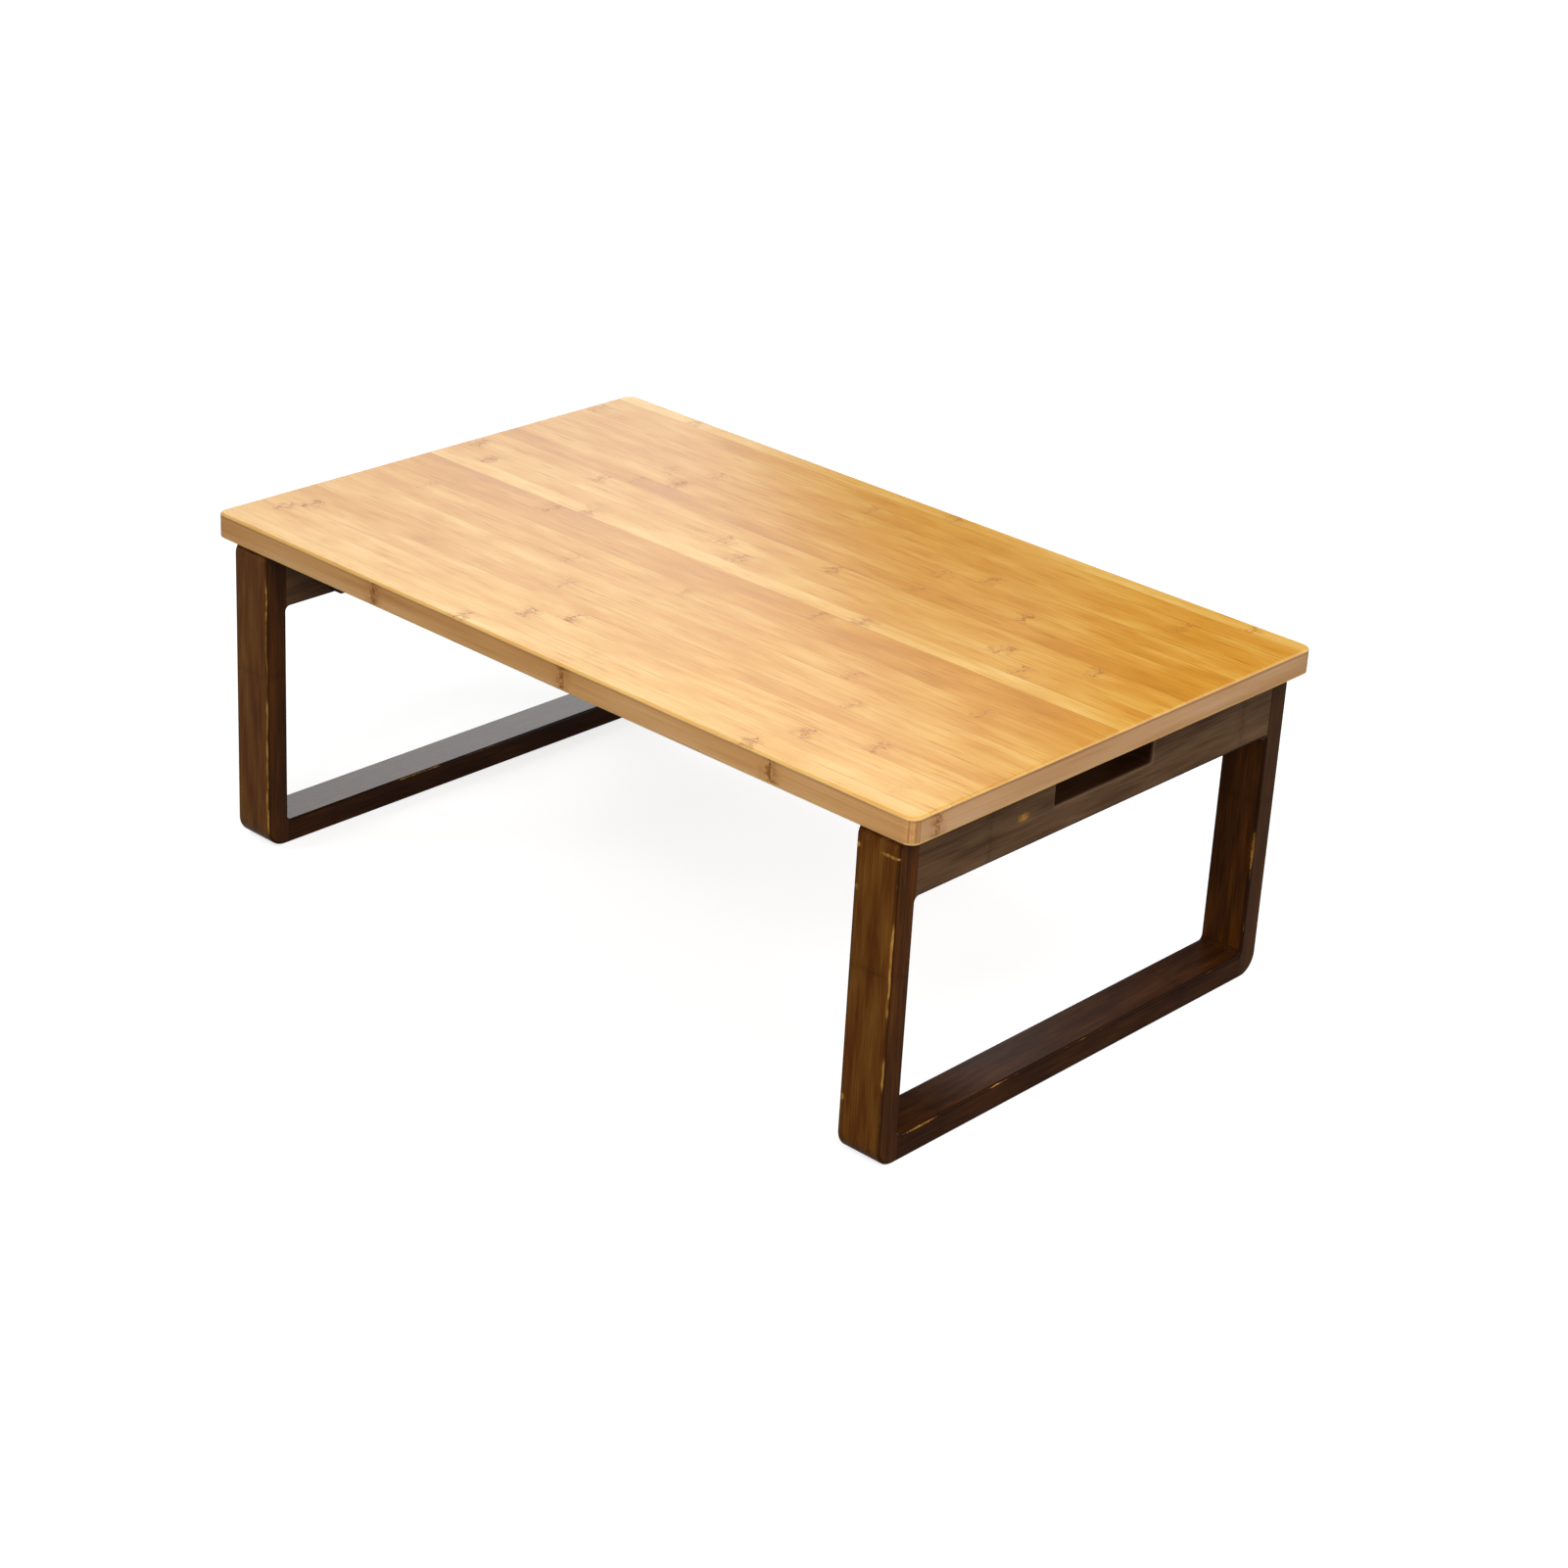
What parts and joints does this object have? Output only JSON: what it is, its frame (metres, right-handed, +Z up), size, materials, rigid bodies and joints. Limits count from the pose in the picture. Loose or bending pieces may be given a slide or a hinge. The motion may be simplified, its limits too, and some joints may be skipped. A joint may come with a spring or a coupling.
{
  "type": "folding low table",
  "caption": "Rectangular bamboo low table with rounded corners; closed loop legs with hand-holds fold inward on slotted-stay brackets.",
  "frame": {"origin": "on the floor, under the middle of the open table", "axes": "+X along the length towards the right leg, +Y towards the back, +Z up"},
  "size_m": [0.65, 0.405, 0.248],
  "materials": {
    "bamboo_top": "flat-pressed carbonised bamboo strips under satin lacquer",
    "bamboo_core": "pressed bamboo strips, unseen between the faces",
    "bamboo_edge": "side-pressed carbonised bamboo under satin lacquer",
    "walnut_stained_bamboo": "bamboo stained dark walnut, semi-gloss lacquer, arrises rubbed paler",
    "beech": "plain turned beech",
    "black_steel": "satin black powder coat on pressed steel sheet",
    "blackened_steel": "black oxide on turned steel",
    "zinc_steel": "bright zinc plating on turned steel",
    "nylon": "natural nylon"
  },
  "bodies": {
    "tabletop": {"upper_face": "bamboo_top", "under_face": "bamboo_top", "top_core": "bamboo_core", "front_edge_band": "bamboo_edge", "back_edge_band": "bamboo_edge", "left_end_band": "bamboo_edge", "right_end_band": "bamboo_edge", "left_front_base_channel": "black_steel", "left_back_base_channel": "black_steel", "left_pivot_rivets": "blackened_steel", "left_friction_washers": "nylon", "left_base_screws": "zinc_steel", "right_front_base_channel": "black_steel", "right_back_base_channel": "black_steel", "right_pivot_rivets": "blackened_steel", "right_friction_washers": "nylon", "right_base_screws": "zinc_steel"},
    "left_leg": {"left_front_post": "walnut_stained_bamboo", "left_back_post": "walnut_stained_bamboo", "left_top_rail": "walnut_stained_bamboo", "left_bottom_rail": "walnut_stained_bamboo", "left_leg_dowels": "beech", "left_front_leg_channel": "black_steel", "left_back_leg_channel": "black_steel", "left_stay_pins": "zinc_steel", "left_leg_screws": "zinc_steel"},
    "left_front_stay": {"left_front_stay": "black_steel", "left_front_slide_pin": "zinc_steel"},
    "left_back_stay": {"left_back_stay": "black_steel", "left_back_slide_pin": "zinc_steel"},
    "right_leg": {"right_front_post": "walnut_stained_bamboo", "right_back_post": "walnut_stained_bamboo", "right_top_rail": "walnut_stained_bamboo", "right_bottom_rail": "walnut_stained_bamboo", "right_leg_dowels": "beech", "right_front_leg_channel": "black_steel", "right_back_leg_channel": "black_steel", "right_stay_pins": "zinc_steel", "right_leg_screws": "zinc_steel"},
    "right_front_stay": {"right_front_stay": "black_steel", "right_front_slide_pin": "zinc_steel"},
    "right_back_stay": {"right_back_stay": "black_steel", "right_back_slide_pin": "zinc_steel"}
  },
  "joints": [
    {"name": "left_leg_fold", "type": "hinge", "parent": "tabletop", "child": "left_leg", "pos_m": [-0.2662, 0, 0.218], "axis": [0, -1, 0], "range_deg": [0, 90]},
    {"name": "left_front_stay_swing", "type": "hinge", "parent": "left_leg", "child": "left_front_stay", "pos_m": [-0.2612, -0.1315, 0.19658], "axis": [0, -1, 0], "range_deg": [-180, 0]},
    {"name": "left_back_stay_swing", "type": "hinge", "parent": "left_leg", "child": "left_back_stay", "pos_m": [-0.2612, 0.1315, 0.19658], "axis": [0, -1, 0], "range_deg": [-180, 0]},
    {"name": "right_leg_fold", "type": "hinge", "parent": "tabletop", "child": "right_leg", "pos_m": [0.2662, 0, 0.218], "axis": [0, 1, 0], "range_deg": [0, 90]},
    {"name": "right_front_stay_swing", "type": "hinge", "parent": "right_leg", "child": "right_front_stay", "pos_m": [0.2612, -0.1315, 0.19658], "axis": [0, 1, 0], "range_deg": [-180, 0]},
    {"name": "right_back_stay_swing", "type": "hinge", "parent": "right_leg", "child": "right_back_stay", "pos_m": [0.2612, 0.1315, 0.19658], "axis": [0, 1, 0], "range_deg": [-180, 0]}
  ],
  "couplings": [
    {"joint": "left_front_stay_swing", "follows": "left_leg_fold", "ratio": -2},
    {"joint": "left_back_stay_swing", "follows": "left_leg_fold", "ratio": -2},
    {"joint": "right_front_stay_swing", "follows": "right_leg_fold", "ratio": -2},
    {"joint": "right_back_stay_swing", "follows": "right_leg_fold", "ratio": -2}
  ]
}
